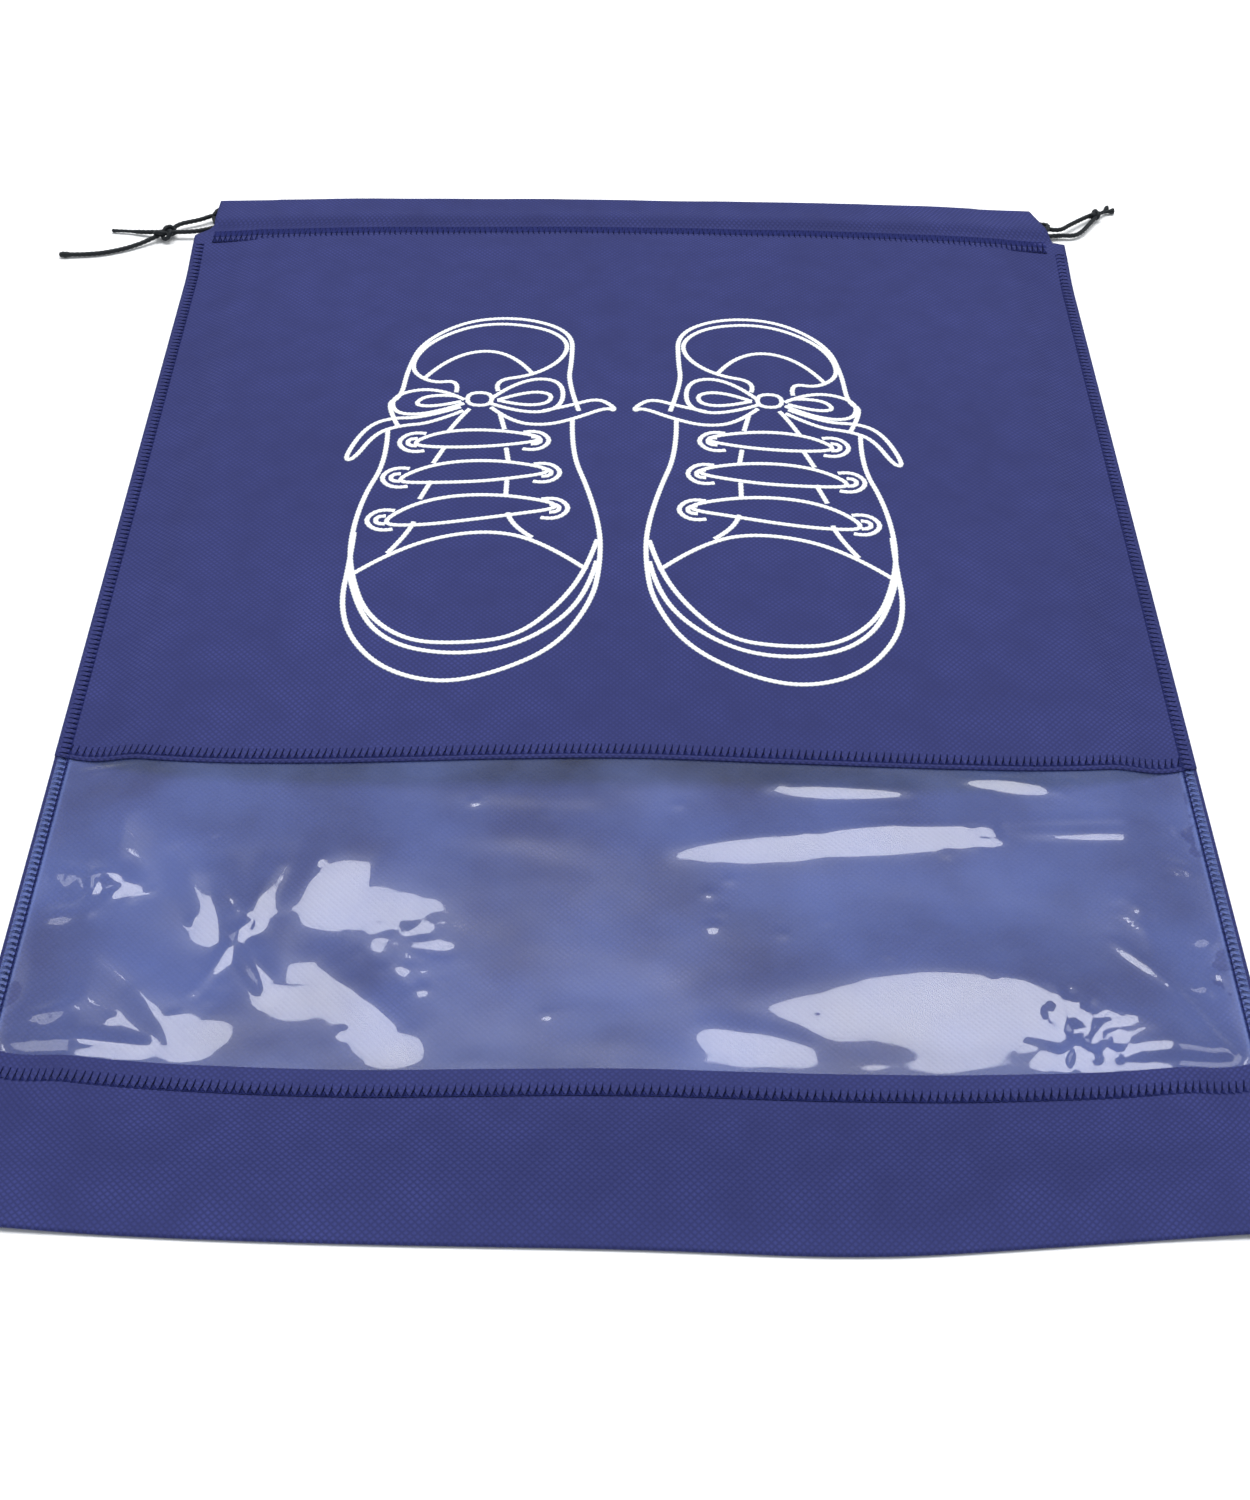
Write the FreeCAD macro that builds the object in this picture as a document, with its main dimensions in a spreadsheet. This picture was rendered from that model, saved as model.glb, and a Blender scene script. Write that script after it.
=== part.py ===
import FreeCAD, Part
import math
import os

# A flat drawstring shoe bag of non-woven cloth, lying on its back with a little fullness in it.
# X is the width, Y runs from the bottom fold to the mouth, Z is up from the surface it lies on.
# The front is bowed about one axis along Y, far below the bag, so that the mouth stays open.

doc = FreeCAD.newDocument("ShoeBag")

sheet = doc.addObject("Spreadsheet::Sheet", "Sizes")
drivingSizes = [
    ("bagWidth", 320.0),         # seam to seam
    ("bagLength", 440.0),        # bottom fold to mouth fold
    ("clothThick", 0.4),         # 80 g non-woven cloth
    ("filmThick", 0.2),          # clear window film
    ("restGap", 0.05),           # between layers that lie on each other
    ("bowRadius", 2600.0),       # underside of the front hem
    ("hemTop", 7.9),             # height of that underside at mid-width
    ("bandHeight", 50.0),        # cloth folded up over the front
    ("windowHeight", 103.0),     # film between the band and the upper panel
    ("filmLap", 8.0),            # film hidden behind the cloth, above and below
    ("bandFlat", 12.0),          # band that keeps the bow before it runs down to the fold
    ("flangeWidth", 10.0),       # pressed flat at each side seam
    ("slopeWidth", 10.0),        # runs down from the bow to the side seam
    ("sideEnd", 26.0),           # side seam stops this far below the mouth
    ("channelHalf", 154.5),      # half the length of the drawstring channels
    ("hemDepth", 37.0),          # hem folded in at the mouth
    ("hemHalf", 138.0),          # half the width of the hem's raw edge
    ("channelDepth", 18.0),      # open part of the channel, from the mouth fold to the stitching
    ("backTunnel", 2.2),         # inside height of the back channel
    ("frontTunnel", 2.8),        # inside height of the front channel
    ("seamWidth", 3.8),          # length of the stitches across each seam
    ("hemSeamWidth", 7.0),       # two rows and the bars between them
    ("threadThick", 0.2),
    ("inkThick", 0.1),
    ("printLength", 181.0),      # each printed shoe, heel to toe
    ("printWidth", 81.0),
    ("printLow", -36.0),         # toe end of the print, along Y
    ("printGap", 10.0),          # between the two shoes
    ("printShift", -3.0),        # print sits a little left of the middle
    ("cordThick", 1.6),
    ("knotLong", 7.0),
    ("knotWide", 5.0),
    ("knotHigh", 4.2),
]
sizeOf = {}
for row, (alias, value) in enumerate(drivingSizes, start=1):
    sheet.set(f"A{row}", alias)
    sheet.set(f"B{row}", str(value))
    sheet.setAlias(f"B{row}", alias)
    sizeOf[alias] = value
doc.recompute()


class Length:
    """A length in millimetres, kept together with the sheet expression that gives it."""

    def __init__(self, value, text):
        self.value = value
        self.text = text

    def __add__(self, other):
        other = asLength(other)
        return Length(self.value + other.value, f"({self.text} + {other.text})")

    def __sub__(self, other):
        other = asLength(other)
        return Length(self.value - other.value, f"({self.text} - {other.text})")

    def __mul__(self, factor):
        return Length(self.value * factor, f"({self.text} * {factor})")

    def __truediv__(self, factor):
        return Length(self.value / factor, f"({self.text} / {factor})")

    def __neg__(self):
        return self * -1


def asLength(number):
    if isinstance(number, Length):
        return number
    return Length(float(number), f"({float(number)})")


def size(alias):
    return Length(sizeOf[alias], f"Sizes.{alias}")


cloth = size("clothThick")
half = size("bagWidth") / 2
mouth = size("bagLength") / 2
bottom = -mouth
bandTop = bottom + size("bandHeight")
panelLow = bandTop + size("windowHeight")
sideTop = mouth - size("sideEnd")
flangeX = half - size("flangeWidth")
slopeX = flangeX - size("slopeWidth")
axisZ = size("hemTop") - size("bowRadius")   # height of the bow's axis, far below the bag
flangeZ = cloth + size("filmThick")          # front cloth at the side seams, film between

hemBow = size("bowRadius")                   # radii about the bow's axis
clothBow = hemBow + cloth
clothTopBow = clothBow + cloth
filmBow = clothBow - size("filmThick") - size("restGap")
threadBow = clothTopBow + size("restGap")


def aboveAxis(height):
    """A height over the surface, counted from the bow's axis."""
    return asLength(height) - axisZ


def newBody(label):
    """An empty body whose own origin lies on the bow's axis."""
    body = doc.addObject("PartDesign::Body", label)
    body.Label = label
    body.setExpression("Placement.Base.z", axisZ.text)
    return body


def newSketch(body, name, plane, offset=None):
    sketch = body.newObject("Sketcher::SketchObject", name)
    face = next(f for f in body.Origin.OriginFeatures if f.Role == plane)
    sketch.AttachmentSupport = [(face, "")]
    sketch.MapMode = "FlatFace"
    if offset is not None:
        sketch.setExpression("AttachmentOffset.Base.z", offset.text)
    return sketch


class OnBow:
    """Stands for the height of a corner that lies on a circle about the bow's axis."""

    def __init__(self, radius):
        self.radius = radius


def outline(sketch, corners):
    """A closed outline. Neighbouring corners on one circle are joined by its arc, others by a line."""

    def place(corner):
        x, y = corner
        if isinstance(y, OnBow):
            return FreeCAD.Vector(x.value, math.sqrt(y.radius.value ** 2 - x.value ** 2), 0)
        return FreeCAD.Vector(x.value, y.value, 0)

    corners = [(asLength(x), y if isinstance(y, OnBow) else asLength(y)) for x, y in corners]
    edges = []
    for index, corner in enumerate(corners):
        following = corners[(index + 1) % len(corners)]
        start, end = place(corner), place(following)
        if isinstance(corner[1], OnBow) and corner[1] is following[1]:
            radius = corner[1].radius
            angles = [math.atan2(p.y, p.x) for p in (start, end)]
            circle = Part.Circle(FreeCAD.Vector(), FreeCAD.Vector(0, 0, 1), radius.value)
            edge = sketch.addGeometry(Part.ArcOfCircle(circle, min(angles), max(angles)), False)
            sketch.addConstraint(sketchConstraint("Coincident", edge, 3, -1, 1))
            bind(sketch, sketchConstraint("Radius", edge, radius.value), radius)
            edges.append((edge, 1, 2) if angles[0] < angles[1] else (edge, 2, 1))
        else:
            edge = sketch.addGeometry(Part.LineSegment(start, end), False)
            edges.append((edge, 1, 2))
    for index, (edge, startPoint, endPoint) in enumerate(edges):
        after, afterStart, _ = edges[(index + 1) % len(edges)]
        sketch.addConstraint(sketchConstraint("Coincident", edge, endPoint, after, afterStart))
        x, y = corners[index]
        bind(sketch, sketchConstraint("DistanceX", -1, 1, edge, startPoint, x.value), x)
        if not isinstance(y, OnBow):
            bind(sketch, sketchConstraint("DistanceY", -1, 1, edge, startPoint, y.value), y)


def sketchConstraint(*facts):
    import Sketcher
    return Sketcher.Constraint(*facts)


def bind(sketch, constraint, length):
    index = sketch.addConstraint(constraint)
    sketch.setExpression(f"Constraints[{index}]", length.text)


def pad(body, name, sketch, length, both=False):
    """Along +Y from a sketch across the bag, or both ways along X from a sketch along it."""
    feature = body.newObject("PartDesign::Pad", name)
    feature.Profile = sketch
    feature.setExpression("Length", length.text)
    if both:
        feature.Midplane = True
    else:
        feature.Reversed = True
    return feature


def bowedSheet(low, thick, reach, flange=None):
    """The section of a bowed sheet across the bag: seam strip, slope, bow, slope, seam strip."""
    under, over = OnBow(low), OnBow(low + thick)
    foot = aboveAxis(flangeZ if flange is None else flange)
    return [
        (-reach, foot), (-flangeX, foot), (-slopeX, under),
        (slopeX, under), (flangeX, foot), (reach, foot),
        (reach, foot + thick), (flangeX, foot + thick), (slopeX, over),
        (-slopeX, over), (-flangeX, foot + thick), (-reach, foot + thick),
    ]


def bowedStrip(low, thick, left, right):
    """A strip that lies wholly on the bow."""
    under, over = OnBow(low), OnBow(low + thick)
    return [(left, under), (right, under), (right, over), (left, over)]


def acrossBag(body, name, corners, start, end):
    """A section across the bag, carried from one place along Y to another."""
    sketch = newSketch(body, name + "Section", "XZ_Plane", -start)
    outline(sketch, corners)
    return pad(body, name, sketch, end - start)


def alongBag(body, name, outlines, reach):
    """A section along the bag, carried both ways along X."""
    sketch = newSketch(body, name + "Section", "YZ_Plane")
    for corners in outlines:
        outline(sketch, [(y, aboveAxis(z)) for y, z in corners])
    return pad(body, name, sketch, reach * 2, both=True)


def channelSection(low, tunnel, foldDepth=1.0):
    """The folded hem at the mouth, low being the height of its lower layer: outer and tunnel outlines.

    The flat layer is the lower one. The other rises over the stitching to clear the cords.
    """
    low = asLength(low)
    top = low + cloth * 2 + tunnel
    stitched = mouth - size("channelDepth")
    rise = 2.5
    outer = [
        (sideTop, low), (mouth - foldDepth, low), (mouth, low + foldDepth),
        (mouth, top - foldDepth), (mouth - foldDepth, top), (stitched + rise, top),
        (stitched, low + cloth * 2), (sideTop, low + cloth * 2),
    ]
    inner = [
        (stitched + 1.5, low + cloth), (mouth - foldDepth - 0.2, low + cloth),
        (mouth - cloth, low + foldDepth + 0.2), (mouth - cloth, top - foldDepth - 0.2),
        (mouth - foldDepth - 0.2, top - cloth), (stitched + rise + 0.2, top - cloth),
        (stitched + 1.5, low + cloth * 2),
    ]
    return outer, inner


def backPanel():
    """The back, the fold at the bottom and the band up the front are one piece of cloth."""
    body = newBody("back_panel")
    fold = flangeZ + cloth
    lip = bottom + 1.5
    alongBag(body, "BackSheet", [[
        (sideTop, 0), (bottom + 0.5, 0), (bottom, 0.25), (bottom, fold - 0.25), (bottom + 0.5, fold),
        (lip, fold), (lip, flangeZ), (bottom + 0.8, flangeZ), (bottom + 0.8, cloth), (sideTop, cloth),
    ]], half)
    alongBag(body, "BackChannel", channelSection(0, size("backTunnel")), size("channelHalf"))
    hemEdge = mouth - size("hemDepth")
    alongBag(body, "BackHem", [[
        (hemEdge, cloth), (sideTop, cloth), (sideTop, cloth * 2), (hemEdge, cloth * 2),
    ]], size("hemHalf"))
    bandKnee = bandTop - size("bandFlat")
    band = bowedSheet(clothBow, cloth, half)
    acrossBag(body, "Band", band, bandKnee, bandTop)
    upper = newSketch(body, "BandKneeSection", "XZ_Plane", -bandKnee)
    outline(upper, band)
    lower = newSketch(body, "BandFootSection", "XZ_Plane", -lip)
    foot = aboveAxis(flangeZ)
    outline(lower, [(x, foot) for x, _ in band[:6]] + [(x, foot + cloth) for x, _ in band[6:]])
    slope = body.newObject("PartDesign::AdditiveLoft", "BandSlope")
    slope.Profile = upper
    slope.Sections = [lower]
    slope.Ruled = True
    return body


def frontPanel():
    """The upper front panel, with its channel folded inwards at the mouth."""
    body = newBody("front_panel")
    acrossBag(body, "FrontSheet", bowedSheet(clothBow, cloth, half), panelLow, sideTop)
    hemEdge = mouth - size("hemDepth")
    acrossBag(body, "FrontHem", bowedStrip(hemBow, cloth, -size("hemHalf"), size("hemHalf")), hemEdge, sideTop)
    section = newSketch(body, "FrontChannelSection", "YZ_Plane")
    for corners in channelSection(size("hemTop"), size("frontTunnel")):
        outline(section, [(y, aboveAxis(z)) for y, z in corners])
    channel = body.newObject("PartDesign::Revolution", "FrontChannel")
    channel.Profile = section
    channel.ReferenceAxis = (section, ["H_Axis"])
    channel.setExpression("Angle", "2 * asin(Sizes.channelHalf / Sizes.bowRadius)")
    channel.Midplane = True
    return body


def windowFilm():
    body = newBody("window_film")
    lap = size("filmLap")
    film = size("filmThick")
    section = bowedSheet(filmBow, film, half - 1.0, flange=cloth)
    acrossBag(body, "Film", section, bandTop - lap, panelLow + lap)
    return body


def windowSeam(label, low):
    """The stitching that holds the film to the edge of the cloth above or below it."""
    body = newBody(label)
    thread = size("threadThick")
    reach = half - size("seamWidth") - 0.5
    section = bowedSheet(threadBow, thread, reach, flange=flangeZ + cloth + size("restGap"))
    acrossBag(body, label + "Strip", section, low, low + size("seamWidth"))
    return body


def sideSeam(label, side):
    """One row of stitches over the band, the film and the upper panel, along a side."""
    body = newBody(label)
    thread = size("threadThick")
    onCloth = flangeZ + cloth + size("restGap")
    onFilm = flangeZ + size("restGap")
    step = thread * 2
    section = newSketch(body, label + "Section", "YZ_Plane", (half - size("seamWidth")) * side)
    outline(section, [(y, aboveAxis(z)) for y, z in [
        (bottom + 1.0, onCloth), (bandTop, onCloth), (bandTop, onFilm), (panelLow, onFilm),
        (panelLow, onCloth), (sideTop, onCloth), (sideTop, onCloth + thread),
        (panelLow - step, onCloth + thread), (panelLow - step, onFilm + thread),
        (bandTop + step, onFilm + thread), (bandTop + step, onCloth + thread),
        (bottom + 1.0, onCloth + thread),
    ]])
    strip = body.newObject("PartDesign::Pad", label + "Strip")
    strip.Profile = section
    strip.setExpression("Length", size("seamWidth").text)
    strip.Reversed = side < 0
    return body


def hemSeams():
    """Two rows with bars between them, which close each channel below the cords."""
    low = mouth - size("channelDepth") - size("hemSeamWidth") - 0.5
    reach = size("channelHalf") - 2.5
    front = newBody("front_hem_stitching")
    thread = size("threadThick")
    acrossBag(front, "FrontHemStrip", bowedStrip(threadBow, thread, -reach, reach), low, low + size("hemSeamWidth"))
    back = newBody("back_hem_stitching")
    above = cloth * 2 + size("restGap")
    alongBag(back, "BackHemStrip", [[
        (low, above), (low + size("hemSeamWidth"), above),
        (low + size("hemSeamWidth"), above + thread), (low, above + thread),
    ]], reach)
    return front, back


def shoePrint(label, side):
    """One screen-printed shoe: a layer of ink on the upper panel."""
    body = newBody(label)
    inner = size("printGap") / 2
    edges = [inner * side + size("printShift"), (inner + size("printWidth")) * side + size("printShift")]
    left, right = sorted(edges, key=lambda edge: edge.value)
    section = bowedStrip(threadBow, size("inkThick"), left, right)
    low = size("printLow")
    acrossBag(body, label + "Ink", section, low, low + size("printLength"))
    return body


def cordRoute(points):
    """Straight runs joined by arcs, each as large as its two runs allow."""
    points = [FreeCAD.Vector(*p) for p in points]
    edges, radii = [], []
    last = points[0]
    for before, corner, after in zip(points, points[1:], points[2:]):
        arriving = (corner - before).normalize()
        leaving = (after - corner).normalize()
        cut = 0.45 * min((corner - before).Length, (after - corner).Length)
        halfTurn = arriving.getAngle(leaving) / 2
        radius = cut / math.tan(halfTurn)
        start, end = corner - arriving * cut, corner + leaving * cut
        inward = (leaving - arriving).normalize()
        middle = corner + inward * (radius / math.cos(halfTurn) - radius)
        edges.append(Part.LineSegment(last, start).toShape())
        edges.append(Part.Arc(start, middle, end).toShape())
        radii.append(round(radius, 1))
        last = end
    edges.append(Part.LineSegment(last, points[-1]).toShape())
    return Part.Wire(edges), radii


def cord(label, points):
    """One half of a drawstring, as a tube along its route."""
    radius = sizeOf["cordThick"] / 2
    route, radii = cordRoute(points)
    start = FreeCAD.Vector(*points[0])
    ahead = FreeCAD.Vector(*points[1]) - start
    section = Part.Wire([Part.makeCircle(radius, start, ahead)])
    tube = Part.BRepOffsetAPI.MakePipeShell(route)
    tube.add(section)
    tube.setTransitionMode(1)
    tube.build()
    tube.makeSolid()
    feature = doc.addObject("Part::Feature", label)
    feature.Label = label
    feature.Shape = tube.shape()
    expected = math.pi * radius ** 2 * route.Length
    print(label, "length", round(route.Length, 1), "radii", radii,
          "volume over section times length", round(feature.Shape.Volume / expected, 4))
    return feature


def knot(label, middle, turn):
    """A pulled-down overhand knot, as the smooth lump that the cords pass through."""
    lump = doc.addObject("Part::Ellipsoid", label)
    lump.Label = label
    lump.setExpression("Radius1", "Sizes.knotHigh / 2")
    lump.setExpression("Radius2", "Sizes.knotLong / 2")
    lump.setExpression("Radius3", "Sizes.knotWide / 2")
    lump.Placement = FreeCAD.Placement(
        FreeCAD.Vector(*middle), FreeCAD.Rotation(FreeCAD.Vector(0, 0, 1), turn))
    return lump


# Each drawstring goes round the whole mouth: out of one end of the front channel, knotted, and back
# through the back channel, with a bend at the other end. It is drawn as a front half and a back
# half, from the middle of that bend to the cord's two ends.
cordRoutes = {
    "left_cord_front": [
        (158.8, 211.4, 3.2), (158.8, 206.4, 4.85), (147.0, 206.2, 5.55), (104.0, 206.4, 7.62),
        (52.0, 206.1, 9.18), (0.0, 206.3, 9.7), (-52.0, 206.1, 9.18), (-104.0, 206.4, 7.62),
        (-150.0, 206.0, 5.37), (-159.5, 205.6, 4.75), (-165.0, 203.6, 3.3), (-170.5, 202.9, 2.4),
        (-176.0, 199.8, 1.7), (-181.5, 195.7, 0.95), (-189.0, 192.4, 0.85), (-198.0, 191.0, 0.85),
        (-208.7, 190.4, 0.85),
    ],
    "left_cord_back": [
        (158.8, 211.4, 3.2), (158.8, 216.4, 1.55), (147.0, 216.5, 1.5), (-150.0, 216.5, 1.5),
        (-159.0, 216.1, 1.5), (-165.0, 212.8, 1.3), (-169.0, 207.2, 2.2), (-173.4, 204.0, 2.8),
        (-179.5, 205.4, 1.3), (-185.8, 207.2, 0.85), (-192.5, 207.8, 0.85),
    ],
    "right_cord_front": [
        (-158.8, 211.75, 3.2), (-158.8, 217.0, 4.85), (-147.0, 217.0, 5.55), (-104.0, 216.8, 7.62),
        (-52.0, 217.1, 9.18), (0.0, 216.9, 9.7), (52.0, 217.1, 9.18), (104.0, 216.8, 7.62),
        (150.0, 217.0, 5.37), (159.5, 217.4, 4.75), (165.5, 219.8, 3.1), (171.5, 222.6, 2.2),
        (176.5, 224.4, 2.0), (181.5, 230.6, 0.9),
    ],
    "right_cord_back": [
        (-158.8, 211.75, 3.2), (-158.8, 206.5, 1.55), (-147.0, 206.5, 1.5), (150.0, 206.5, 1.5),
        (159.0, 206.7, 1.5), (165.5, 209.0, 1.2), (171.5, 215.0, 1.2), (174.4, 221.2, 2.0),
        (179.0, 226.2, 1.9), (184.0, 229.4, 0.9),
    ],
}

parts = [backPanel(), frontPanel(), windowFilm()]
parts.append(windowSeam("window_top_stitching", panelLow + 1.2))
parts.append(windowSeam("window_bottom_stitching", bandTop - 3.9 - size("seamWidth")))
parts.append(sideSeam("left_side_stitching", -1))
parts.append(sideSeam("right_side_stitching", 1))
parts.extend(hemSeams())
parts.append(shoePrint("left_shoe_print", -1))
parts.append(shoePrint("right_shoe_print", 1))
for label, points in cordRoutes.items():
    parts.append(cord(label, points))
parts.append(knot("left_knot", (-171.5, 203.2, 2.4), 30))
parts.append(knot("right_knot", (175.8, 223.6, 2.2), 45))

doc.recompute()
for item in doc.Objects:
    if "Invalid" in item.State or "Error" in item.State:
        raise RuntimeError(f"{item.Name} did not build: {item.State}")
os.makedirs("parts", exist_ok=True)
for part in parts:
    shape = part.Shape
    if shape.isNull() or not shape.isValid():
        raise RuntimeError(f"{part.Label} is not a sound solid")
for part in parts:
    part.Shape.exportStep(f"parts/{part.Label}.step")
    box = part.Shape.BoundBox
    print(f"{part.Label}: {len(part.Shape.Solids)} solid, X {box.XMin:.1f} to {box.XMax:.1f}, "
          f"Y {box.YMin:.1f} to {box.YMax:.1f}, Z {box.ZMin:.2f} to {box.ZMax:.2f}")
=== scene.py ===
import math
import random
import bmesh
import bpy
from mathutils import Matrix, Vector, noise


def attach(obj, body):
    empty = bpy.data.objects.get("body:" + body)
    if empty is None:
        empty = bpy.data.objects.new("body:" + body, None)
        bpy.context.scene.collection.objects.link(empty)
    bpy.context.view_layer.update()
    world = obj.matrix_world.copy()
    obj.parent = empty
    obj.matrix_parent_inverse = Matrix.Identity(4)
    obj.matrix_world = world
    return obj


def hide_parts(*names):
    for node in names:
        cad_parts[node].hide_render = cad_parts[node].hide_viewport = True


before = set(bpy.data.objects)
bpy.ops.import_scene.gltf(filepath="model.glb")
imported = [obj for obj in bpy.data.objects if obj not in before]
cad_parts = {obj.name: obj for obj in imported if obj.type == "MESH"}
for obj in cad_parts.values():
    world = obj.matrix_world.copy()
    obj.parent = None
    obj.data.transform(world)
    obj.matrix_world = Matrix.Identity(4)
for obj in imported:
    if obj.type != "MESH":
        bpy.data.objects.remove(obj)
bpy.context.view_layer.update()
scene = bpy.context.scene
scene.view_settings.view_transform = "Standard"  # whites stay white, blues stay as mixed
random.seed(7)
print("frame loaded")


def ease(t):
    t = min(max(t, 0.0), 1.0)
    return t * t * (3 - 2 * t)


def hexColour(code, alpha=1.0):
    parts = [int(code[i : i + 2], 16) / 255 for i in (1, 3, 5)]
    return (*[c / 12.92 if c <= 0.04045 else ((c + 0.055) / 1.055) ** 2.4 for c in parts], alpha)


def addNode(tree, kind, inputs=(), **settings):
    node = tree.nodes.new(kind)
    for name, value in settings.items():
        setattr(node, name, value)
    for socket, value in dict(inputs).items():
        if isinstance(value, bpy.types.NodeSocket):
            tree.links.new(value, node.inputs[socket])
        else:
            node.inputs[socket].default_value = value
    return node


def newMaterial(name):
    material = bpy.data.materials.new(name)
    material.use_nodes = True
    tree = material.node_tree
    tree.nodes.clear()
    return material, tree, addNode(tree, "ShaderNodeOutputMaterial")


def colourRamp(tree, factor, stops):
    ramp = addNode(tree, "ShaderNodeValToRGB", {"Fac": factor})
    while len(ramp.color_ramp.elements) < len(stops):
        ramp.color_ramp.elements.new(0.5)
    for element, (place, code) in zip(ramp.color_ramp.elements, stops):
        element.position = place
        element.color = hexColour(code)
    return ramp.outputs["Color"]


def finishMesh(bm, name, material, smooth=True):
    mesh = bpy.data.meshes.new(name)
    for face in bm.faces:
        face.smooth = smooth
    bm.to_mesh(mesh)
    bm.free()
    mesh.materials.append(material)
    piece = bpy.data.objects.new(name, mesh)
    scene.collection.objects.link(piece)
    return piece


def thicken(piece, thickness):
    solid = piece.modifiers.new("thickness", "SOLIDIFY")
    solid.thickness = thickness
    solid.offset = 0
    return piece


def bind(piece, body, slot, *nodes):
    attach(piece, body)
    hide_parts(*nodes)
    return piece


def stations(*runs):
    # each run is (from, to, cells); the stops of all runs in one list
    stops = [runs[0][0]]
    for start, end, cells in runs:
        stops += [start + (end - start) * (i + 1) / cells for i in range(cells)]
    return stops


def flatSheet(across, along):
    # a flat cut in metres; its UV map keeps the flat place after the sheet is folded
    bm = bmesh.new()
    nx, ny = len(across) - 1, len(along) - 1
    bmesh.ops.create_grid(bm, x_segments=nx, y_segments=ny, size=1)
    for vert in bm.verts:
        i = round((vert.co.x + 1) / 2 * nx)
        j = round((vert.co.y + 1) / 2 * ny)
        vert.co = (across[i], along[j], 0)
    flat = bm.loops.layers.uv.new("flatCut")
    for face in bm.faces:
        for loop in face.loops:
            loop[flat].uv = loop.vert.co.xy
    return bm


view = {"place": (-0.0024, -0.4741, 0.4211), "pitch": 45.46, "yaw": 0.28, "roll": 0.86, "lens": 50.23}
lens = bpy.data.cameras.new("camera")
lens.lens = view["lens"]
lens.sensor_width = 36
lens.clip_start = 0.01
lens.clip_end = 30
camera = bpy.data.objects.new("camera", lens)
scene.collection.objects.link(camera)
turn = Matrix.Rotation(math.radians(-view["yaw"]), 4, "Z")
turn @= Matrix.Rotation(math.radians(90 - view["pitch"]), 4, "X")
turn @= Matrix.Rotation(math.radians(view["roll"]), 4, "Z")
camera.matrix_world = Matrix.Translation(view["place"]) @ turn
scene.camera = camera


def cordMaterial():
    # braided polyester cord, dyed near black: fine slanted yarns with a dull silky edge
    material, tree, output = newMaterial("braidedPolyesterCord")
    coords = addNode(tree, "ShaderNodeUVMap", uv_map="flatCut")
    yarns = addNode(tree, "ShaderNodeMapping", {"Vector": coords.outputs["UV"], "Scale": (900, 900, 1)})
    fuzz = addNode(
        tree, "ShaderNodeTexNoise", {"Vector": yarns.outputs["Vector"], "Scale": 2.2, "Detail": 4}
    )
    colour = colourRamp(tree, fuzz.outputs["Fac"], [(0.3, "#02060b"), (0.55, "#050e15"), (0.75, "#0e1a24")])
    bump = addNode(
        tree, "ShaderNodeBump", {"Height": fuzz.outputs["Fac"], "Strength": 0.5, "Distance": 0.0002}
    )
    shader = addNode(
        tree,
        "ShaderNodeBsdfPrincipled",
        {
            "Base Color": colour,
            "Roughness": 0.6,
            "Specular IOR Level": 0.3,
            "Sheen Weight": 0.04,
            "Normal": bump.outputs["Normal"],
        },
    )
    tree.links.new(shader.outputs["BSDF"], output.inputs["Surface"])
    return material


cordLook = cordMaterial()
drawcord = {
    "diameter": 0.0016,
    "lobes": 3,  # plies laid round each other
    "lay": 0.0052,  # one turn of a ply
    "relief": 0.09,
    "step": 0.00042,
    "sides": 12,
}


def readBack(name, curve):
    # the smooth line of a curve, as points
    holder = bpy.data.objects.new(name, curve)
    scene.collection.objects.link(holder)
    bpy.context.view_layer.update()
    mesh = bpy.data.meshes.new_from_object(holder)
    points = [v.co.copy() for v in mesh.vertices]
    bpy.data.objects.remove(holder)
    bpy.data.meshes.remove(mesh)
    return points


def routePath(name, route):
    curve = bpy.data.curves.new(name, "CURVE")
    curve.dimensions = "3D"
    spline = curve.splines.new("NURBS")
    spline.points.add(len(route) - 1)
    for point, place in zip(spline.points, route):
        point.co = (*[v / 1000 for v in place], 1)
    spline.order_u = 3
    spline.use_endpoint_u = True
    spline.resolution_u = 24
    return readBack(name, curve)


def evenPath(points, step):
    lengths = [0.0]
    for a, b in zip(points, points[1:]):
        lengths.append(lengths[-1] + (b - a).length)
    count = max(round(lengths[-1] / step), 8)
    even, k = [], 0
    for i in range(count + 1):
        target = lengths[-1] * i / count
        while k < len(points) - 2 and lengths[k + 1] < target:
            k += 1
        span = lengths[k + 1] - lengths[k] or 1
        even.append(points[k].lerp(points[k + 1], (target - lengths[k]) / span))
    return even, lengths[-1]


def rollTube(points, radius, closed=False):
    # a flat strip rolled round the points; radius(s, angle, total) shapes it
    half = drawcord["diameter"] / 2
    even, total = evenPath(points, drawcord["step"])
    rings, sides = len(even) - 1, drawcord["sides"]
    frames, up = [], None
    for i in range(rings + 1):
        ahead = even[(i + 1) % rings if closed else min(i + 1, rings)]
        behind = even[(i - 1) % rings if closed else max(i - 1, 0)]
        tangent = (ahead - behind).normalized()
        if up is None:
            up = Vector((0, 0, 1)) if abs(tangent.z) < 0.9 else Vector((1, 0, 0))
        up = (up - tangent * up.dot(tangent)).normalized()
        frames.append((up.copy(), tangent.cross(up)))
    bm = flatSheet(stations((0, total, rings)), stations((0, 2 * math.pi * half, sides)))
    for vert in bm.verts:
        i = round(vert.co.x / total * rings)
        angle = vert.co.y / half
        reach = radius(vert.co.x, angle, total)
        side, out = frames[i % rings if closed else i]
        middle = even[i % rings if closed else i]
        vert.co = middle + side * math.cos(angle) * reach + out * math.sin(angle) * reach
    bmesh.ops.remove_doubles(bm, verts=bm.verts, dist=0.00002)
    bmesh.ops.recalc_face_normals(bm, faces=bm.faces)
    return bm


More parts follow.
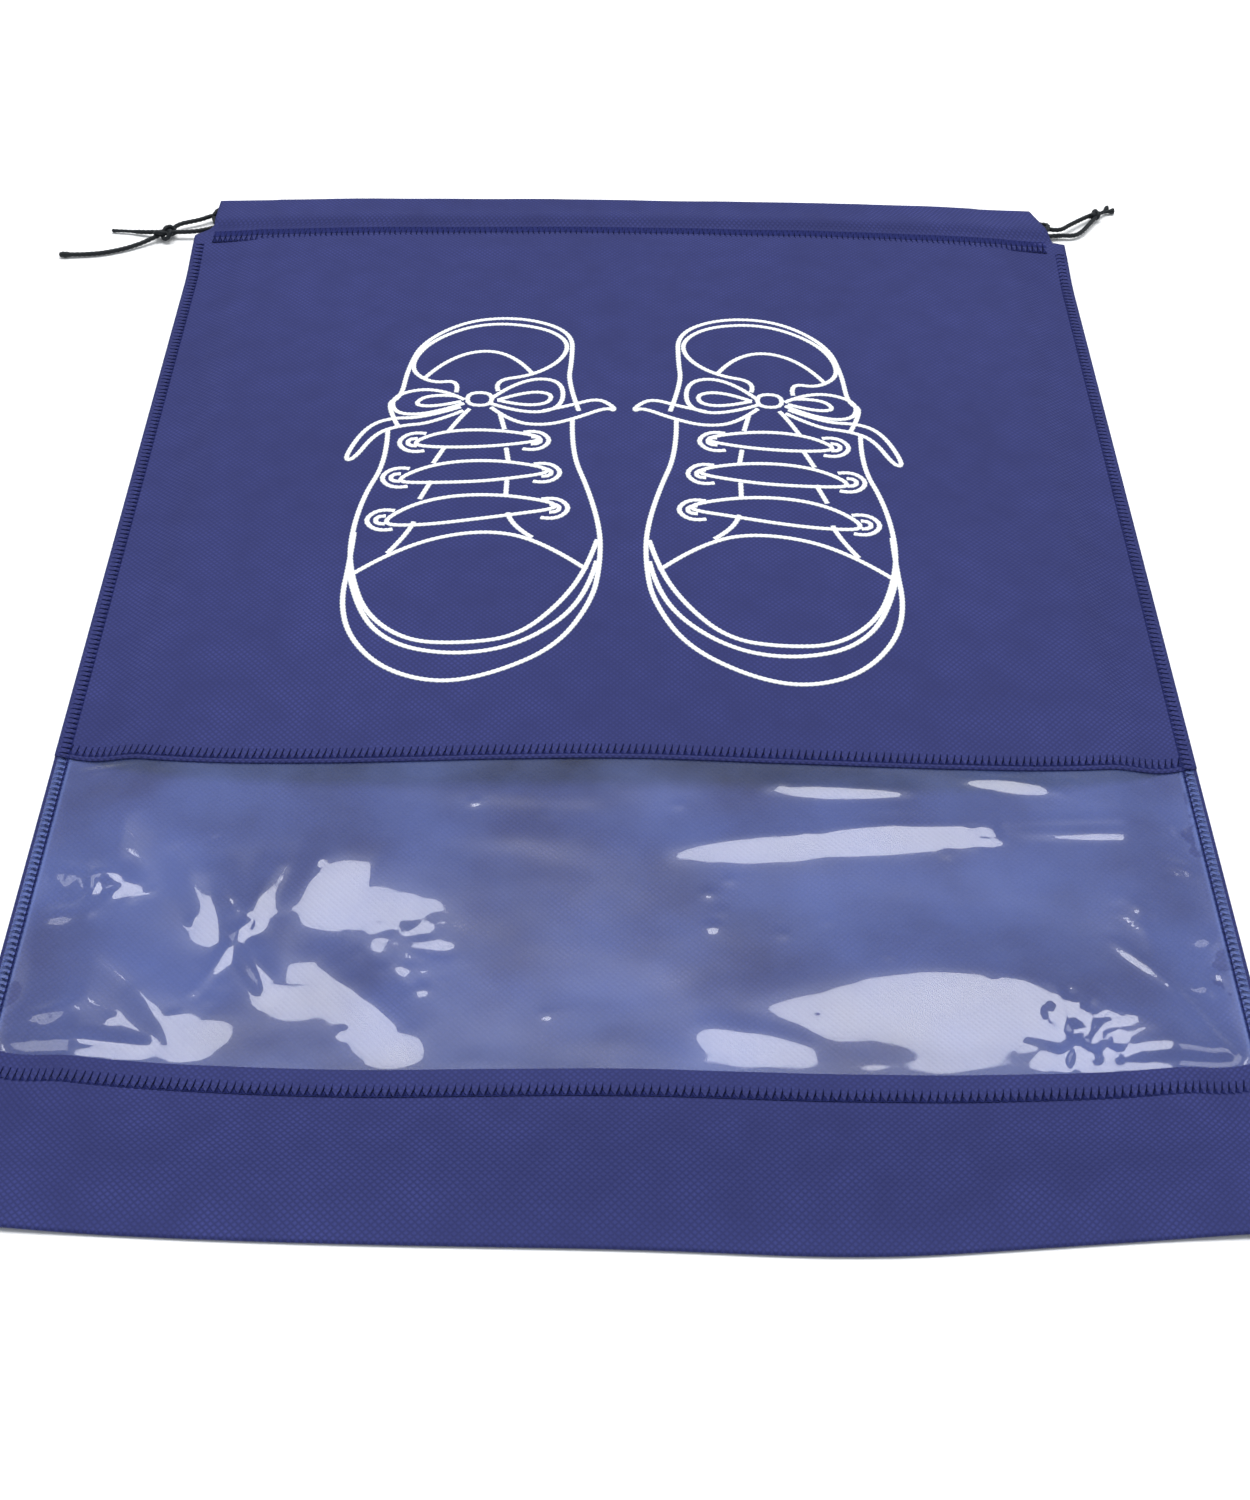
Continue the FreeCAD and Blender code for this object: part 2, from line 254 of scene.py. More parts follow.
def plies(s, angle):
    return 1 + drawcord["relief"] * math.cos(drawcord["lobes"] * (angle - 2 * math.pi * s / drawcord["lay"]))


def cordHalf(name, body, node, route, tip, thin=1.0, thinFrom=0.011):
    points = routePath(name, route)
    half = drawcord["diameter"] / 2

    def radius(s, angle, total):
        left = total - s
        reach = half * plies(s, angle) * (1 + (thin - 1) * ease((s - total + thinFrom) / 0.004))
        reach *= 1 + (tip["swell"] - 1) * ease(1 - abs(left - tip["at"]) / tip["long"])  # heat-cut tip
        flat = 1 + (tip["flat"] - 1) * ease(1 - left / tip["long"])
        reach *= math.sqrt(math.cos(angle) ** 2 * flat**2 + math.sin(angle) ** 2 / flat)
        closing = min(left / 0.0005, s / 0.0002, 1)
        return reach * math.sqrt(max(1 - (1 - closing) ** 2, 0))

    piece = finishMesh(rollTube(points, radius), name, cordLook)
    bind(piece, body, "cord", node)
    return piece, points


bulged = {"swell": 1.35, "at": 0.0022, "long": 0.0026, "flat": 1.0}
frayed = {"swell": 1.15, "at": 0.0010, "long": 0.0016, "flat": 1.1}
flared = {"swell": 1.7, "at": 0.0006, "long": 0.0030, "flat": 1.2}

routes = {
    "leftFront": [
        (155.7, 214.2, 3.3), (155.8, 208.4, 4.2), (147.0, 206.4, 4.9), (104.0, 206.7, 6.3),
        (52.0, 206.5, 7.3),
        (0.0, 206.7, 7.6), (-52.0, 206.5, 7.3), (-104.0, 206.7, 6.3), (-147.0, 206.4, 4.8),
        (-153.6, 205.2, 3.6),
        (-158.4, 204.0, 3.0), (-163.0, 203.6, 2.6), (-168.0, 203.6, 2.5), (-172.4, 202.8, 2.4),
        (-175.6, 200.6, 1.9),
        (-180.5, 196.9, 1.25), (-187.5, 193.1, 1.0), (-197.5, 189.9, 1.0), (-208.6, 189.6, 1.2),
    ],
    "leftBack": [
        (155.7, 214.2, 3.3), (153.8, 217.6, 2.0), (145.0, 216.8, 1.5), (-146.0, 216.5, 1.5),
        (-152.6, 217.0, 1.8),
        (-156.8, 215.2, 2.3), (-159.8, 212.9, 2.2), (-164.0, 211.3, 2.1), (-167.6, 209.5, 2.2),
        (-169.6, 205.6, 2.4),
        (-172.6, 203.4, 2.6), (-176.5, 204.3, 1.9), (-181.5, 205.3, 1.25), (-187.0, 206.4, 0.95),
        (-192.4, 206.6, 0.9),
    ],
    "rightFront": [
        (-155.1, 213.4, 3.3), (-154.6, 217.4, 4.2), (-147.0, 217.0, 5.0), (-104.0, 216.8, 6.2),
        (-52.0, 217.1, 7.0), (0.0, 216.9, 7.3), (52.0, 217.1, 7.0), (104.0, 216.8, 6.2),
        (138.0, 215.4, 5.3),
        (149.0, 212.4, 4.8), (155.5, 210.9, 3.6), (160.2, 211.7, 2.8), (164.4, 216.2, 2.4),
        (168.3, 219.6, 2.3),
        (172.2, 222.8, 2.2), (175.2, 224.4, 2.2), (178.0, 226.4, 1.6), (180.0, 228.8, 1.3),
        (180.8, 230.9, 1.2),
    ],
    "rightBack": [
        (-155.1, 213.4, 3.3), (-154.4, 208.8, 1.8), (-147.0, 206.5, 1.5), (146.0, 206.5, 1.5),
        (154.0, 209.0, 1.7),
        (160.6, 210.3, 1.6), (164.9, 210.0, 1.5), (168.3, 212.4, 1.5), (171.5, 217.0, 1.7),
        (174.5, 221.6, 1.9),
        (176.8, 225.0, 1.9), (179.2, 227.3, 1.4), (181.2, 228.2, 1.15), (183.4, 228.5, 1.2),
    ],
}


def tiedKnot(name, body, node, place, turnDegrees, size):
    # an overhand knot pulled tight: one ply of cord through its own loop
    points = []
    for i in range(60):
        t = 2 * math.pi * i / 60
        points.append(
            Vector((
                (math.sin(t) + 1.7 * math.sin(2 * t)) * size[0] / 2,
                (math.cos(t) - 1.7 * math.cos(2 * t)) * size[1] / 2,
                -math.sin(3 * t) * size[2] / 2,
            ))
            / 1000
        )
    points.append(points[0].copy())
    half = drawcord["diameter"] / 2
    bm = rollTube(points, lambda s, angle, total: half * plies(s, angle), closed=True)
    shift = Matrix.Translation([v / 1000 for v in place])
    shift @= Matrix.Rotation(math.radians(turnDegrees), 4, "Z")
    bmesh.ops.transform(bm, matrix=shift, verts=bm.verts)
    return bind(finishMesh(bm, name, cordLook), body, "cord", node)


leftKnot = tiedKnot("leftKnot", "left_drawstring", "left_knot", (-171.4, 202.7, 2.6), 30, (2.9, 2.1, 2.2))
rightKnot = tiedKnot(
    "rightKnot", "right_drawstring", "right_knot", (175.0, 223.9, 2.2), 45, (1.7, 1.1, 1.6)
)
cordHalves = [
    ("leftCordFront", "left_drawstring", "left_cord_front", "leftFront", bulged, 1.0, [leftKnot], 0.3755),
    ("leftCordBack", "left_drawstring", "left_cord_back", "leftBack", frayed, 0.72, [leftKnot], 0.3604),
    ("rightCordFront", "right_drawstring", "right_cord_front", "rightFront", flared, 0.7, [rightKnot], 0.350),
    ("rightCordBack", "right_drawstring", "right_cord_back", "rightBack", flared, 0.72, [rightKnot], 0.3570),
]
for name, body, node, route, tip, thin, knots, length in cordHalves:
    piece, points = cordHalf(name, body, node, routes[route], tip, thin)
print("drawstrings laid")


bag = {
    "half": 0.160,
    "crown": 0.0087,  # outer face of the front at the middle
    "bow": 5.2,  # drop of the bow is x squared over this
    "flange": 0.0010,  # front pressed on the back along the side seams
    "flangeFrom": 0.134,
    "flangeTo": 0.153,
    "cloth": 0.0004,
    "film": 0.0002,
    "mouth": 0.220,
    "rise": 0.0028,  # the cord channel stands this much over the front
    "seam": 0.1980,  # middle of the stitches that close the channel
    "hemWide": 0.2060,  # further down, the folded-in hem keeps the width that it has here
}
sideEnds = {
    -1: {"notch": 0.1992, "step": 0.0055, "from": 0.1532, "to": 0.1528},
    1: {"notch": 0.2004, "step": 0.0014, "from": 0.1556, "to": 0.1485},
}


def frontTop(x, y):
    # outer face of the front cloth over the table, without the channel
    a = abs(x)
    bow = bag["crown"] - x * x / bag["bow"]
    side = ease((a - bag["flangeFrom"]) / (bag["flangeTo"] - bag["flangeFrom"]))
    side *= 1 - ease((y - 0.172) / 0.031)
    low = ease((-y - 0.178) / 0.041)
    free = (1 - side) * (1 - low)
    height = bow + (bag["flange"] - bow) * side
    height += (0.0013 - height) * low
    height += free * 0.0007 * noise.noise(Vector((x * 13, y * 9, 4.2)))
    height += free * 0.00022 * noise.noise(Vector((x * 45, y * 38, 1.7)))
    height += 0.0002 * ease((y - 0.1820) / 0.0014) * ease((0.140 - a) / 0.004)  # hem edge telling through
    height -= 0.0024 * (1 - (x / 0.16) ** 2) * ease((y - 0.186) / 0.030)  # the mouth lies lower
    return height + cornerLift(x, y)


def cornerLift(x, y):
    return 0.0011 * ease((abs(x) - 0.115) / 0.045) * ease((-y - 0.190) / 0.030)


def settle(x, y):
    # the bottom edge isn't quite straight: its corners draw in and it sags a little off the middle
    shift = 0.0042 * (abs(x) / 0.16) ** 3 - 0.0006 * x / 0.16
    shift += 0.0026 * ease((x - 0.060) / 0.085)
    shift -= 0.0014 * math.exp(-(((x - 0.05) / 0.035) ** 2))
    return y + shift * ease((-y - 0.180) / 0.035)


def narrow(x, y):
    # the channel ends stop short of the side seams
    end = sideEnds[1 if x > 0 else -1]
    top = end["notch"] + end["step"]
    half = bag["half"] + (end["from"] - bag["half"]) * ease((y - end["notch"]) / end["step"])
    half += (end["to"] - end["from"]) * max(0, (y - top) / (bag["mouth"] - top))
    return x * half / bag["half"]


def windowTopEdge(x):
    share = min(abs(x) / 0.16, 1)
    return -0.0660 - 0.0060 * (1 - share**6) + 0.0009 * math.cos(2 * math.pi * x / 0.18)


def windowBottomEdge(x):
    share = min(abs(x) / 0.157, 1)
    return -0.1660 - 0.0100 * (1 - share**5) + 0.0004 * math.cos(2 * math.pi * x / 0.13)


def clothMaterial():
    # spunbond polypropylene: hot-rolled fibre web with a fine diamond grid of bonds, dull with a faint sheen
    material, tree, output = newMaterial("spunbondPolypropylene")
    coords = addNode(tree, "ShaderNodeUVMap", uv_map="flatCut")
    pitch = 2 * math.pi / 0.0026  # bond lines 1.3 mm apart on both slants
    grid = addNode(
        tree,
        "ShaderNodeMapping",
        {"Vector": coords.outputs["UV"], "Rotation": (0, 0, math.radians(45)), "Scale": (pitch, pitch, 1)},
    )
    axes = addNode(tree, "ShaderNodeSeparateXYZ", {"Vector": grid.outputs["Vector"]})
    waveA = addNode(tree, "ShaderNodeMath", {0: axes.outputs["X"]}, operation="SINE")
    waveB = addNode(tree, "ShaderNodeMath", {0: axes.outputs["Y"]}, operation="SINE")
    sizeA = addNode(tree, "ShaderNodeMath", {0: waveA.outputs[0]}, operation="ABSOLUTE")
    sizeB = addNode(tree, "ShaderNodeMath", {0: waveB.outputs[0]}, operation="ABSOLUTE")
    bonds = addNode(
        tree, "ShaderNodeMath", {0: sizeA.outputs[0], 1: sizeB.outputs[0]}, operation="MULTIPLY"
    )
    fibres = addNode(
        tree, "ShaderNodeTexNoise", {"Vector": coords.outputs["UV"], "Scale": 2600, "Detail": 3}
    )
    mottle = addNode(tree, "ShaderNodeTexNoise", {"Vector": coords.outputs["UV"], "Scale": 90, "Detail": 5})
    shade = addNode(tree, "ShaderNodeTexNoise", {"Vector": coords.outputs["UV"], "Scale": 11, "Detail": 2})
    mix = addNode(tree, "ShaderNodeMath", {0: mottle.outputs["Fac"], 1: 0.55}, operation="MULTIPLY")
    mix = addNode(
        tree,
        "ShaderNodeMath",
        {0: shade.outputs["Fac"], 1: 0.45, 2: mix.outputs[0]},
        operation="MULTIPLY_ADD",
    )
    base = colourRamp(tree, mix.outputs[0], [(0.35, "#292e64"), (0.5, "#2f356f"), (0.65, "#363c7a")])
    # painted shade: the grooves of the bond grid are coloured darker, as the shade that falls in them
    bondGroovePaintedShade = addNode(
        tree,
        "ShaderNodeMix",
        {"Factor": bonds.outputs[0], 6: hexColour("#262b5d"), 7: base},
        data_type="RGBA",
    )
    height = addNode(
        tree,
        "ShaderNodeMath",
        {0: fibres.outputs["Fac"], 1: 0.35, 2: bonds.outputs[0]},
        operation="MULTIPLY_ADD",
    )
    bump = addNode(
        tree, "ShaderNodeBump", {"Height": height.outputs[0], "Strength": 0.55, "Distance": 0.00025}
    )
    shader = addNode(
        tree,
        "ShaderNodeBsdfPrincipled",
        {
            "Base Color": bondGroovePaintedShade.outputs[2],
            "Roughness": 0.72,
            "Specular IOR Level": 0.2,
            "Sheen Weight": 0.03,
            "Sheen Roughness": 0.5,
            "Normal": bump.outputs["Normal"],
        },
    )
    tree.links.new(shader.outputs["BSDF"], output.inputs["Surface"])
    return material


clothLook = clothMaterial()
columns = stations((-0.160, -0.133, 16), (-0.133, 0.133, 76), (0.133, 0.160, 16))


# lengths along the cut, its fold line at the mouth, and where its hem comes to follow the front again
frontCut = {"run": 0.2860, "turn": 0.0016, "long": 0.3264, "mouthFold": 0.2184, "follows": 0.2045}


def hemShare(back):
    # the folded-in hem is cut narrower, clear of the cords at the channel ends
    return 1 - 0.035 * ease(back / 0.002) - 0.10 * ease(back / 0.024)


def foldFront(bm):
    halfCloth = bag["cloth"] / 2
    fold, follows = frontCut["mouthFold"], frontCut["follows"]
    turnLength = math.pi * frontCut["turn"]
    for vert in bm.verts:
        x, s = vert.co.x, vert.co.y
        if s <= frontCut["run"]:
            y = fold - frontCut["run"] + s
            y += (windowTopEdge(x) - (fold - frontCut["run"])) * (1 - ease(s / 0.05))
            top = frontTop(x, y) - halfCloth
            z = top + bag["rise"] * ease((y - 0.2012) / 0.0062)
            vert.co = (narrow(x, y), y, z)
        else:
            angle = min((s - frontCut["run"]) / frontCut["turn"], math.pi)
            back = max(s - frontCut["run"] - turnLength, 0)
            y = fold + frontCut["turn"] * (0.4 + 0.6 * (x / 0.16) ** 2) * math.sin(angle) - back
            outer = frontTop(x, fold) - halfCloth + bag["rise"]
            inner = frontTop(x, max(y, follows)) - 0.0006
            middle = (outer + inner) / 2
            z = middle + (outer - inner) / 2 * math.cos(angle)
            z += (frontTop(x, y) - frontTop(x, max(y, follows))) * ease((follows - y) / 0.010)
            vert.co = (narrow(x, max(y, bag["hemWide"])) * hemShare(back), y, z)


hemStart = frontCut["run"] + math.pi * frontCut["turn"]
rowsFront = stations(
    (0, 0.030, 20), (0.030, 0.262, 130), (0.262, frontCut["run"], 20), (frontCut["run"], hemStart, 8),
    (hemStart, frontCut["long"], 18),
)
bm = flatSheet(columns, rowsFront)
foldFront(bm)
frontCloth = thicken(finishMesh(bm, "frontCloth", clothLook), bag["cloth"])
bind(frontCloth, "bag", "cloth", "front_panel")

backCut = {
    "band": 0.0490,
    "fold": 0.0004,
    "run": 0.4385,
    "turn": 0.0013,
    "hem": 0.0357,
    "bottomFold": -0.2195,
    "mouthFold": 0.2190,
}


def foldBack(bm):
    halfCloth, bottom = bag["cloth"] / 2, backCut["bottomFold"]
    foldLength = math.pi * backCut["fold"]
    backStart = backCut["band"] + foldLength
    backEnd = backStart + backCut["run"]
    turnLength = math.pi * backCut["turn"]
    for vert in bm.verts:
        x, s = vert.co.x, vert.co.y
        if s <= backCut["band"]:  # the band over the front
            y = bottom + backCut["band"] - s
            y += (windowBottomEdge(x) - (bottom + backCut["band"])) * (1 - ease(s / 0.040))
            vert.co = (x, settle(x, y), frontTop(x, y) - halfCloth)
        elif s <= backStart:  # the bottom fold
            angle = (s - backCut["band"]) / backCut["fold"]
            high, low = frontTop(x, bottom) - halfCloth, halfCloth + cornerLift(x, bottom)
            z = (high + low) / 2 + (high - low) / 2 * math.cos(angle)
            vert.co = (x, settle(x, bottom) - backCut["fold"] * math.sin(angle), z)
        elif s <= backEnd:  # the back, on the table
            y = bottom + s - backStart
            vert.co = (narrow(x, y), settle(x, y), halfCloth + cornerLift(x, y))
        else:  # round the mouth and down inside as the hem
            angle = min((s - backEnd) / backCut["turn"], math.pi)
            back = max(s - backEnd - turnLength, 0)
            y = backCut["mouthFold"] + backCut["turn"] * math.sin(angle) - back
            z = 0.0015 - 0.0013 * math.cos(angle)
            z += (0.0007 - 0.0028) * ease((0.2065 - y) / 0.0065)
            vert.co = (narrow(x, max(y, bag["hemWide"])) * hemShare(back), y, z)


backStart = backCut["band"] + math.pi * backCut["fold"]
backEnd = backStart + backCut["run"]
turnEnd = backEnd + math.pi * backCut["turn"]
rowsBack = stations(
    (0, 0.044, 34), (0.044, backCut["band"], 8), (backCut["band"], backStart, 6),
    (backStart, backStart + 0.006, 8),
    (backStart + 0.006, backEnd - 0.024, 150), (backEnd - 0.024, backEnd, 20), (backEnd, turnEnd, 8),
    (turnEnd, turnEnd + backCut["hem"], 20),
)
bm = flatSheet(columns, rowsBack)
foldBack(bm)
backCloth = thicken(finishMesh(bm, "backCloth", clothLook), bag["cloth"])
bind(backCloth, "bag", "cloth", "back_panel")
print("cloth folded")


def filmMaterial():
    # soft clear PVC film: glassy glints off each crease, a faint milky bloom between them
    material, tree, output = newMaterial("clearPvcFilm")
    coords = addNode(tree, "ShaderNodeUVMap", uv_map="flatCut")
    bloom = addNode(tree, "ShaderNodeTexNoise", {"Vector": coords.outputs["UV"], "Scale": 22, "Detail": 4})
    milkAndPaintedLight = addNode(
        tree, "ShaderNodeMapRange", {"Value": bloom.outputs["Fac"], 1: 0.35, 2: 0.68, 3: 0.04, 4: 0.17}
    )
    # painted light: along the side seams the film is made paler, against the shade that falls there
    flat = addNode(tree, "ShaderNodeSeparateXYZ", {"Vector": coords.outputs["UV"]})
    out = addNode(tree, "ShaderNodeMath", {0: flat.outputs["X"]}, operation="ABSOLUTE")
    seamPaintedLight = addNode(
        tree, "ShaderNodeMapRange", {"Value": out.outputs[0], 1: 0.1545, 2: 0.1556, 3: 0.0, 4: 0.20}
    )
    milkAndPaintedLight = addNode(tree, "ShaderNodeMath", {0: milkAndPaintedLight.outputs[0], 1: seamPaintedLight.outputs[0]}, operation="ADD")
    ripple = addNode(
        tree, "ShaderNodeTexNoise", {"Vector": coords.outputs["UV"], "Scale": 140, "Detail": 1}
    )
    bump = addNode(
        tree, "ShaderNodeBump", {"Height": ripple.outputs["Fac"], "Strength": 0.06, "Distance": 0.0003}
    )
    clear = addNode(tree, "ShaderNodeBsdfTransparent", {"Color": (0.985, 0.988, 1, 1)})
    haze = addNode(
        tree,
        "ShaderNodeBsdfPrincipled",
        {"Base Color": hexColour("#7089dc"), "Roughness": 0.5, "Normal": bump.outputs["Normal"]},
    )
    body = addNode(
        tree, "ShaderNodeMixShader", {0: milkAndPaintedLight.outputs[0], 1: clear.outputs[0], 2: haze.outputs[0]}
    )
    sharp = addNode(
        tree,
        "ShaderNodeBsdfGlossy",
        {"Color": (1, 1, 1, 1), "Roughness": 0.035, "Normal": bump.outputs["Normal"]},
    )
    broad = addNode(
        tree,
        "ShaderNodeBsdfGlossy",
        {"Color": (1, 1, 1, 1), "Roughness": 0.22, "Normal": bump.outputs["Normal"]},
    )
    gloss = addNode(tree, "ShaderNodeMixShader", {0: 0.42, 1: sharp.outputs[0], 2: broad.outputs[0]})
    facing = addNode(tree, "ShaderNodeLayerWeight", {"Blend": 0.5, "Normal": bump.outputs["Normal"]})
    grazing = addNode(tree, "ShaderNodeMath", {0: facing.outputs["Facing"], 1: 5.0}, operation="POWER")
    share = addNode(tree, "ShaderNodeMapRange", {"Value": grazing.outputs[0], 3: 0.040, 4: 0.9})
    mixed = addNode(
        tree, "ShaderNodeMixShader", {0: share.outputs[0], 1: body.outputs[0], 2: gloss.outputs[0]}
    )
    tree.links.new(mixed.outputs[0], output.inputs["Surface"])
    return material


filmLook = filmMaterial()
# creases in mm: ends of the ridge line, half width, height
creases = [
    (-153, -72, -137, -72.5, 2.2, 0.8), (-132, -71, -127, -71.5, 1.8, 0.6),
    (-149, -81, -112, -106, 10, 1.5),
    (-118, -104, -106, -128, 6, 1.2), (-152, -106, -140, -113, 3.5, 1.3),
    (-140, -110, -129, -116, 3.2, 1.2),
    (-153, -123, -140, -125, 3.6, 1.2), (-106, -113, -98, -131, 3.4, 1.4), (-92, -112, -97, -131, 3.6, 1.5),
    (-98, -134, -89, -151, 3.4, 1.4), (-99, -134, -107, -152, 1.7, 0.6), (-86, -106, -66, -112, 20, 3.4),
    (-88, -128, -83, -150, 7, 0.9), (-75, -142, -56, -165, 6.0, 1.2), (-146, -131, -104, -160, 8, 1.35),
    (-121, -153, -108, -169, 3.4, 0.5), (-153, -158, -139, -155, 2.8, 1.0),
    (-151, -164, -118, -168.5, 2.4, 0.9),
    (-62, -82, -10, -86, 5, 0.4), (-50, -98, 0, -102, 6, 0.4), (40, -80, 76, -81, 3.2, 0.65),
    (95, -74.5, 114, -77, 3.2, 0.9), (15, -102, 70, -95, 6.0, 1.1), (62, -96, 97, -93, 6.0, 1.5),
    (104, -91, 150, -87, 2.0, 0.3), (108, -95, 148, -92, 2.4, 0.35), (144, -102, 153, -103.5, 3.0, 1.0),
    (146, -128, 154, -125, 2.6, 0.8), (126, -132, 138, -144, 1.6, 0.35), (138, -144, 151, -167, 1.8, 0.55),
    (26, -156, 58, -149, 10, 0.7), (66, -146, 98, -145, 14, 3.0), (98, -147, 144, -163, 8.0, 1.9),
    (105, -169, 150, -163, 3.6, 0.9), (22, -163, 42, -167, 4.5, 0.55),
]
# crumpled spots in mm: middle, reach, height, grain
crumples = [
    (-140, -115, 13, 1.1, 7.0), (-97, -131, 8, 0.7, 6.0), (-56, -140, 20, 0.4, 6.5),
    (113, -161, 20, 1.3, 6.0),
    (147, -142, 12, 0.9, 6.0), (96, -95, 9, 0.6, 4.5), (150, -90, 10, 0.5, 5.0), (-148, -160, 10, 0.6, 7.0),
    (121, -77, 7, 0.5, 4.0), (-110, -101, 5, 0.5, 3.0), (138, -118, 16, 0.45, 7.0),
]
specks = [
    (random.uniform(-145, 145), random.uniform(-165, -78), random.uniform(0.10, 0.26)) for _ in range(36)
]


def filmRelief(x, y):
    px, py = x * 1000, y * 1000
    height = 0.0
    for x0, y0, x1, y1, wide, tall in creases:
        dx, dy = x1 - x0, y1 - y0
        t = min(max(((px - x0) * dx + (py - y0) * dy) / (dx * dx + dy * dy), 0), 1)
        off = math.hypot(px - x0 - t * dx, py - y0 - t * dy) / wide
        if off < 2.6:
            height += tall * math.exp(-off * off) * (0.55 + 0.45 * math.sin(math.pi * t))
    for x0, y0, reach, tall, grain in crumples:
        off = math.hypot(px - x0, py - y0) / reach
        if off < 1:
            fold = abs(noise.noise(Vector((px / grain, py / grain, x0))))
            height += tall * ease(1 - off) * (0.5 - fold * 2)
    for x0, y0, tall in specks:
        off = math.hypot(px - x0, py - y0) / 1.5
        if off < 2:
            height += tall * math.exp(-off * off)
    top, low = windowTopEdge(x) - y, y - windowBottomEdge(x)
    height += 0.3 * noise.noise(Vector((px / 34, py / 24, 8.3))) * ease(top / 0.014) * ease(low / 0.014)
    height += 0.05 * noise.noise(Vector((px / 8, py / 7, 2.9)))
    loose = ease((top - 0.0004) / 0.004) * ease((low - 0.0004) / 0.004)
    loose *= ease((0.1555 - abs(x)) / 0.006)
    return height / 1000 * loose


bm = flatSheet(stations((-0.159, 0.159, 288)), stations((-0.1860, -0.0590, 114)))
for vert in bm.verts:
    x, y = vert.co.x, vert.co.y
    vert.co.z = frontTop(x, y) - 0.0005 + filmRelief(x, y)
windowFilm = thicken(finishMesh(bm, "windowFilm", filmLook), bag["film"])
bind(windowFilm, "bag", "film", "window_film")
print("window film creased")


def threadMaterial():
    # spun polyester thread dyed with the cloth: short twisted loops, silkier; coloured darker than the cloth,
    # partly as painted shade for the shadowed edges of the loops
    material, tree, output = newMaterial("spunPolyesterThread")
    coords = addNode(tree, "ShaderNodeTexCoord")
    twist = addNode(
        tree, "ShaderNodeTexNoise", {"Vector": coords.outputs["Object"], "Scale": 2400, "Detail": 2}
    )
    # painted shade: these thread colours sit below the cloth's to stand in for the shade at the loops' edges
    colour = colourRamp(tree, twist.outputs["Fac"], [(0.3, "#1a2052"), (0.6, "#22285f"), (0.8, "#2b316d")])
    # painted light: beside the window, past the film's edge, the thread is coloured pale
    place = addNode(tree, "ShaderNodeSeparateXYZ", {"Vector": coords.outputs["Object"]})
    above = addNode(
        tree, "ShaderNodeMapRange", {"Value": place.outputs["Y"], 1: -0.070, 2: -0.066, 3: 1.0, 4: 0.0}
    )
    below = addNode(
        tree, "ShaderNodeMapRange", {"Value": place.outputs["Y"], 1: -0.170, 2: -0.166, 3: 0.0, 4: 1.0}
    )
    windowSidePaintedLight = addNode(
        tree, "ShaderNodeMath", {0: above.outputs[0], 1: below.outputs[0]}, operation="MULTIPLY"
    )
    outer = addNode(tree, "ShaderNodeMath", {0: place.outputs["X"]}, operation="ABSOLUTE")
    outer = addNode(tree, "ShaderNodeMath", {0: outer.outputs[0], 1: 0.1562}, operation="GREATER_THAN")
    windowSidePaintedLight = addNode(
        tree, "ShaderNodeMath", {0: windowSidePaintedLight.outputs[0], 1: outer.outputs[0]}, operation="MULTIPLY"
    )
    colour = addNode(
        tree,
        "ShaderNodeMix",
        {"Factor": windowSidePaintedLight.outputs[0], 6: colour, 7: hexColour("#6673b4")},
        data_type="RGBA",
    ).outputs[2]
    bump = addNode(
        tree, "ShaderNodeBump", {"Height": twist.outputs["Fac"], "Strength": 0.4, "Distance": 0.0001}
    )
    shader = addNode(
        tree,
        "ShaderNodeBsdfPrincipled",
        {"Base Color": colour, "Roughness": 0.7, "Specular IOR Level": 0.1, "Normal": bump.outputs["Normal"]},
    )
    tree.links.new(shader.outputs["BSDF"], output.inputs["Surface"])
    return material


threadLook = threadMaterial()
stitch = {"pitch": 0.00195, "bar": (0.00038, 0.00013), "rail": (0.00013, 0.00008)}


def grainFrame(middle, along, up, long, wide, high):
    side = up.cross(along).normalized()
    up = along.cross(side).normalized()
    spread = Matrix((side * wide, up * high, along * long / 2)).transposed().to_4x4()
    return Matrix.Translation(middle) @ spread


def seamPiece(name, node, places, barLength, rails=(-0.5,)):
    # places: (point, bar direction, outward), one pitch apart; each loop of thread is a slim rounded grain
    frames = []
    for point, across, up in places:
        along = up.cross(across)
        direction = (across + along * random.uniform(-0.10, 0.10)).normalized()
        length = barLength * random.uniform(0.92, 1.05)
        frames.append(grainFrame(point + up * 0.00007, direction, up, length, *stitch["bar"]))
        for rail in rails:
            middle = point + across * barLength * rail + up * 0.00003
            frames.append(grainFrame(middle, along, up, stitch["pitch"] * 1.15, *stitch["rail"]))
    bm = bmesh.new()
    bmesh.ops.create_uvsphere(bm, u_segments=6, v_segments=5, radius=1)
    each = len(bm.verts)
    while len(bm.verts) < each * len(frames):
        bmesh.ops.duplicate(bm, geom=bm.verts[:] + bm.edges[:] + bm.faces[:])
    bmesh.ops.delete(bm, geom=bm.verts[:][each * len(frames) :], context="VERTS")
    for i, vert in enumerate(bm.verts):
        vert.co = frames[i // each] @ vert.co
    return bind(finishMesh(bm, name, threadLook), "bag", "thread", node)


def onFront(x, y, extra=0.0):
    return Vector((x, settle(x, y), frontTop(x, y) + extra))


def rowAcross(limit, height, extra=0.0):
    count = round(2 * limit / stitch["pitch"])
    places = []
    for i in range(count + 1):
        x = -limit + 2 * limit * i / count
        y = height(x)
        slope = (frontTop(x + 0.001, y) - frontTop(x - 0.001, y)) / 0.002
        up = Vector((-slope, 0, 1)).normalized()
        places.append((onFront(x, y, extra), Vector((0, 1, 0)), up))
    return places


